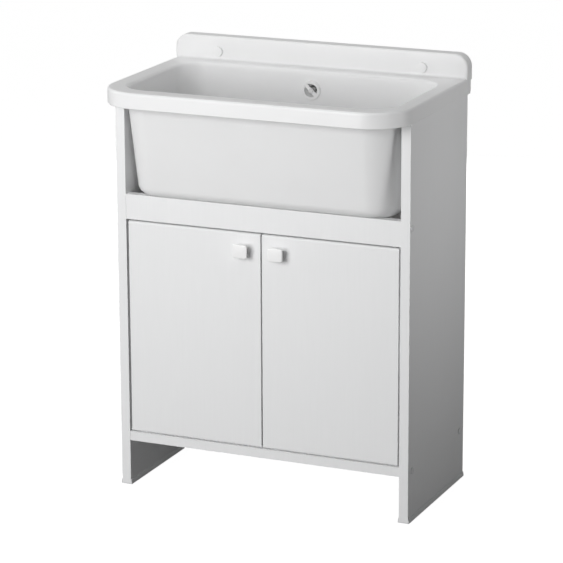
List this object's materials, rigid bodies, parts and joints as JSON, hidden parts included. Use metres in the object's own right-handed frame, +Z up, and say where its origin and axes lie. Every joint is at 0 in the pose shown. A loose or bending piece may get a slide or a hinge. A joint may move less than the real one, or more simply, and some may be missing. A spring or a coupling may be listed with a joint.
{
  "type": "utility sink",
  "caption": "White moulded tub sink with a backsplash, rolled rim and overflow, on a panel cabinet with hinged inset doors, square knobs and a bottle trap inside.",
  "frame": {"origin": "on the floor, under the middle of the whole sink, seen in plan", "axes": "+Z up, +X to the right seen from the front, the doors face -Y and the backsplash stands at +Y"},
  "size_m": [0.6, 0.38, 0.831],
  "materials": {
    "sink_resin": "smooth glossy moulded white",
    "board_laminate": "satin white melamine laminate",
    "door_laminate": "satin white laminate with rolled edges",
    "hardboard": "white-faced thin board",
    "knob_plastic": "glossy white",
    "trim_plastic": "satin light grey",
    "pivot_nylon": "natural nylon",
    "overflow_plastic": "glossy white",
    "plumbing_plastic": "semi-gloss white polypropylene",
    "hose_plastic": "pale grey flexible corrugated plastic",
    "strainer_steel": "brushed stainless steel",
    "seal_rubber": "matt black rubber",
    "zinc_steel": "bright zinc plated steel",
    "magnet_ferrite": "dark ferrite",
    "dowel_beech": "plain beech"
  },
  "bodies": {
    "cabinet": {"basin": "sink_resin", "left_side_panel": "board_laminate", "right_side_panel": "board_laminate", "bottom_panel": "board_laminate", "front_rail": "board_laminate", "back_panel": "hardboard", "left_foot_strip": "trim_plastic", "right_foot_strip": "trim_plastic", "lower_pivots": "zinc_steel", "upper_pivots": "zinc_steel", "panel_screws": "zinc_steel", "panel_dowels": "dowel_beech", "left_screw_caps": "trim_plastic", "right_screw_caps": "trim_plastic", "back_panel_screws": "zinc_steel", "wall_hole_caps": "sink_resin", "overflow_rosette": "overflow_plastic", "overflow_screw": "strainer_steel", "overflow_gasket": "seal_rubber", "overflow_elbow": "plumbing_plastic", "overflow_hose": "hose_plastic", "waste_strainer": "strainer_steel", "waste_screw": "strainer_steel", "waste_upper_gasket": "seal_rubber", "waste_lower_gasket": "seal_rubber", "waste_body": "plumbing_plastic", "trap_inlet_nut": "plumbing_plastic", "trap_inlet_seal": "seal_rubber", "trap_inlet_tube": "plumbing_plastic", "trap_neck_nut": "plumbing_plastic", "trap_neck_seal": "seal_rubber", "trap_body": "plumbing_plastic", "trap_cup_seal": "seal_rubber", "trap_cup": "plumbing_plastic", "outlet_nut": "plumbing_plastic", "outlet_seal": "seal_rubber", "outlet_pipe": "plumbing_plastic", "door_catch": "trim_plastic", "catch_magnets": "magnet_ferrite", "catch_screws": "zinc_steel"},
    "left_door_leaf": {"left_door": "door_laminate", "left_knob": "knob_plastic", "left_knob_screw": "zinc_steel", "left_door_bushes": "pivot_nylon", "left_strike_plate": "zinc_steel", "left_strike_screw": "zinc_steel"},
    "right_door_leaf": {"right_door": "door_laminate", "right_knob": "knob_plastic", "right_knob_screw": "zinc_steel", "right_door_bushes": "pivot_nylon", "right_strike_plate": "zinc_steel", "right_strike_screw": "zinc_steel"}
  },
  "joints": [
    {"name": "left_door_hinge", "type": "hinge", "parent": "cabinet", "child": "left_door_leaf", "pos_m": [-0.26, -0.099, 0.316], "axis": [0, 0, -1], "range_deg": [0, 110]},
    {"name": "right_door_hinge", "type": "hinge", "parent": "cabinet", "child": "right_door_leaf", "pos_m": [0.26, -0.099, 0.316], "axis": [0, 0, 1], "range_deg": [0, 110]}
  ]
}
